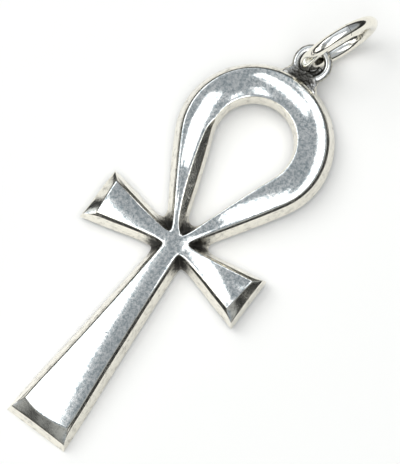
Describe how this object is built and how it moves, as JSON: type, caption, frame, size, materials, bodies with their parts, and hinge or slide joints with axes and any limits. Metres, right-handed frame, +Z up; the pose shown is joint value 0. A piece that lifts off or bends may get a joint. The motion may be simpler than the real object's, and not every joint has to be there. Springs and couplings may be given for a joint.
{
  "type": "ankh pendant",
  "caption": "Cast ankh pendant with a teardrop loop, flared arms and a flared stem, a soldered wire eye and a round jump ring for a chain or cord.",
  "frame": {"origin": "centre of the footprint, on the surface that the pendant lies on", "axes": "+Y from the foot of the ankh towards its loop and jump ring, +X along the arms to the right as seen from the face, +Z up out of the surface"},
  "size_m": [0.0192, 0.0536, 0.009],
  "materials": {
    "cast_silver": "polished sterling silver with fine scratches, small casting pits and dark tarnish in the corners of the crossing and round the solder",
    "wire_silver": "polished drawn silver wire, rubbed bright, with a fine butt seam"
  },
  "bodies": {
    "root": {"ankh": "cast_silver", "jump_ring": "wire_silver"}
  },
  "joints": []
}
